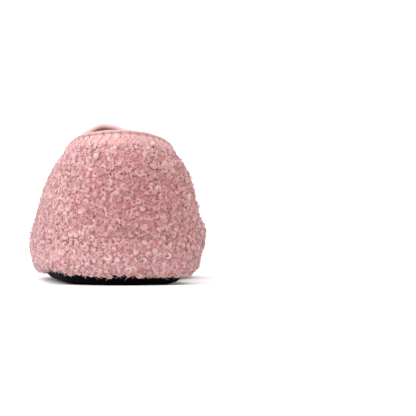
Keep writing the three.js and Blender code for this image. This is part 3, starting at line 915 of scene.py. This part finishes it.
def lining():
    """A short plush lining: one closed shell for the quarters and one for the vamp."""
    back = np.concatenate([np.linspace(0.74, 1.0, 90), np.linspace(0.0, 0.25, 90)[1:]])
    for name, us in (("quarter", back), ("vamp", np.linspace(0.25, 0.74, 260))):
        us = np.unwrap(us * 2 * math.pi) / (2 * math.pi)
        grid_u, grid_t, shape = upright_grid(us, LINING_ROWS, -0.45, 0.5, LINING_INNER)
        inner = body(grid_u, grid_t, LINING_INNER)
        up = normals(grid_u, np.minimum(grid_t, NEAR_RIDGE), LINING_INNER)
        wool = 0.35 * value_noise(inner, 1.7, 8.0) + 0.3 * value_noise(inner, 4.0, 9.0)
        inner = inner - up * (wool + 0.1)[:, None]
        outer = body(grid_u, grid_t, LINING_INNER - LINING_THICKNESS)
        vertices, faces = shell(outer, inner, shape)
        # level: paler on the plush's bumps as painted highlight, deeper in its hollows as painted shade
        level = np.concatenate([np.full_like(wool, 0.2), np.clip(0.4 + wool, 0, 1)])
        # painted shade inside the throat: the lining near the vamp's topline is painted deeper and darker
        painted_light_share = 1 - 0.9 * np.exp(-((drop(vertices) / 12) ** 2)) * (vertices[:, 1] > DIP_AT + 20)
        uv = np.stack([painted_light_share / 2, level * painted_light_share], 1)
        piece = mesh_piece(name + "_plush_lining", vertices, faces, plush, uv)
        dress(piece, "lining", name + "_lining")


def footbed():
    """The plush footbed: a crowned pad that dishes a little under the heel, with its own short curls."""
    columns, rows = 240, 40
    u = np.linspace(0, 1, columns, endpoint=False)
    rim = body(u, -0.25, LINING_INNER + 0.4)[:, :2]
    y = RIDGE_BACK + (RIDGE_FRONT - RIDGE_BACK) * rim[:, 1] / SOLE_LENGTH
    middle = through([(32, 0), (112, -5), (168, -2), (208, 2)])
    spine = np.stack([middle(y), y], 1)

    def at(share):
        flat = spine[None] + (rim - spine)[None] * share[:, None, None]
        heel = np.exp(-((flat[..., 0] / 22) ** 2) - (((flat[..., 1] - 42) / 34) ** 2))
        arch = np.exp(-(((flat[..., 0] - 26) / 14) ** 2) - (((flat[..., 1] - 100) / 34) ** 2))
        z = COVER_TOP + 0.6 - 2.6 * share[:, None] ** 6 - 1.0 * heel + 2.2 * arch
        return np.concatenate([flat, z[..., None]], -1)

    points = at(np.linspace(0, 1, rows)).reshape(-1, 3)
    points[:, 2] += 0.35 * value_noise(points, 2.0, 12.0) + 0.3 * value_noise(points, 9.0, 13.0)
    under = points[-columns:].copy()
    under[:, 2] = COVER_TOP - FOOTBED_THICKNESS
    centre = np.concatenate([spine, under[:, 2:]], 1)
    vertices = np.concatenate([points, under, centre])
    tone = np.full(len(vertices), 0.45)
    faces = tube_faces(rows + 2, columns, True)
    piece = mesh_piece("plush_footbed", vertices, faces, plush, np.stack([tone, tone], 1))
    dress(piece, "lining", "footbed_cover")
    n = FOOTBED_SAMPLES
    k = rng.integers(0, columns, n)
    share = np.sqrt(rng.random(n)) * 0.98
    flat = spine[k] + (rim[k] - spine[k]) * share[:, None]
    keep = flat[:, 1] < FOOTBED_PILE_FRONT
    k, share = k[keep], share[keep]
    roots = np.array([at(np.array([s]))[0, j] for s, j in zip(share, k)])
    roots = roots[scatter(roots, FOOTBED_SPACING)]
    up = np.tile([0.0, 0.0, 1.0], (len(roots), 1))
    size = rng.uniform(1.6, 2.6, len(roots))
    for pile in curls("footbed_pile", roots, up, size, rng.uniform(0.3, 0.8, len(roots)), plush, 0.5):
        dress(pile, "lining")


def inner_nodes():
    """Materials of the CAD pieces that stay as they are."""
    foam = plain_look("foam_look", linear(236, 230, 220), linear(216, 208, 196), 0.8, 0.9)
    board = plain_look("board_look", linear(188, 168, 140), linear(160, 140, 112), 1.2, 0.9)
    stiff = plain_look("stiffener_look", linear(222, 216, 204), linear(200, 192, 178), 1.0, 0.7)
    label = knit_look("label_look", linear(243, 232, 228), linear(232, 216, 212), 0.5)
    looks = {
        "outsole": rubber,
        "midsole": foam,
        "insole_board": board,
        "footbed_foam": foam,
        "heel_counter": stiff,
        "toe_puff": stiff,
        "collar_padding": foam,
        "vamp_padding": foam,
        "size_label": label,
    }
    for name, look in looks.items():
        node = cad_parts[name]
        node.data.materials.clear()
        node.data.materials.append(look)
        node.data.shade_smooth()
        node.data.set_sharp_from_angle(angle=math.radians(32))


# ---------- build ----------

fleece_panels()
outer_pile()
binding()
stitching()
lining()
footbed()
inner_nodes()

# ---------- floor, light and camera ----------

GROUND = 0.0
FLOOR_REACH = 6.0
CAMERA_BEHIND, CAMERA_HEIGHT, CAMERA_TURN = 1.5, 0.042, -1.786  # metres and degrees
LENS, SENSOR = 241.4, 36


def stage():
    x = FLOOR_REACH
    mesh = bpy.data.meshes.new("floor")
    corners = [(-x, -x, GROUND), (x, -x, GROUND), (x, x, GROUND), (-x, x, GROUND)]
    mesh.from_pydata(corners, [], [(0, 1, 2, 3)])
    look = Look("floor_look")
    grain = look.texture("Noise", 40.0)
    base = look.ramp(grain.outputs["Fac"], [(0.3, (0.93, 0.93, 0.93)), (0.7, (0.95, 0.95, 0.95))])
    look.link(base.outputs["Color"], look.shader.inputs["Base Color"])
    look.set(Roughness=0.9)
    look.shader.inputs["Specular IOR Level"].default_value = 0.0
    mesh.materials.append(look.material)
    floor = bpy.data.objects.new("floor", mesh)
    bpy.context.scene.collection.objects.link(floor)


def area_light(name, at, target, size, power):
    data = bpy.data.lights.new(name, "AREA")
    data.shape = "DISK"
    data.size = size
    data.energy = power
    lamp = bpy.data.objects.new(name, data)
    lamp.location = at
    lamp.rotation_mode = "QUATERNION"
    lamp.rotation_quaternion = (Vector(target) - Vector(at)).to_track_quat("-Z", "Y")
    bpy.context.scene.collection.objects.link(lamp)


def lights():
    world = bpy.data.worlds.new("studio")
    bpy.context.scene.world = world
    world.use_nodes = True
    background = world.node_tree.nodes["Background"]
    background.inputs["Color"].default_value = (1.0, 1.0, 1.0, 1)
    background.inputs["Strength"].default_value = 1.15 * STUDIO
    area_light("key", (-1.5, -1.0, 1.5), (0, 0, 0.04), 2.4, 28 * STUDIO)


def camera():
    """At the height of the heel's middle, 1.5 m behind it, turned slightly to the right."""
    data = bpy.data.cameras.new("camera")
    data.sensor_width = SENSOR
    data.lens = LENS
    data.clip_start, data.clip_end = 0.05, 50
    made = bpy.data.objects.new("camera", data)
    made.location = (ORIGIN[0] / 1000, (RIM_BACK - OVERHANG) / 1000 - CAMERA_BEHIND, CAMERA_HEIGHT)
    made.rotation_euler = (math.radians(90), 0, math.radians(CAMERA_TURN))
    bpy.context.scene.collection.objects.link(made)
    bpy.context.scene.camera = made


stage()
lights()
camera()
bpy.context.scene.view_settings.view_transform = "Standard"
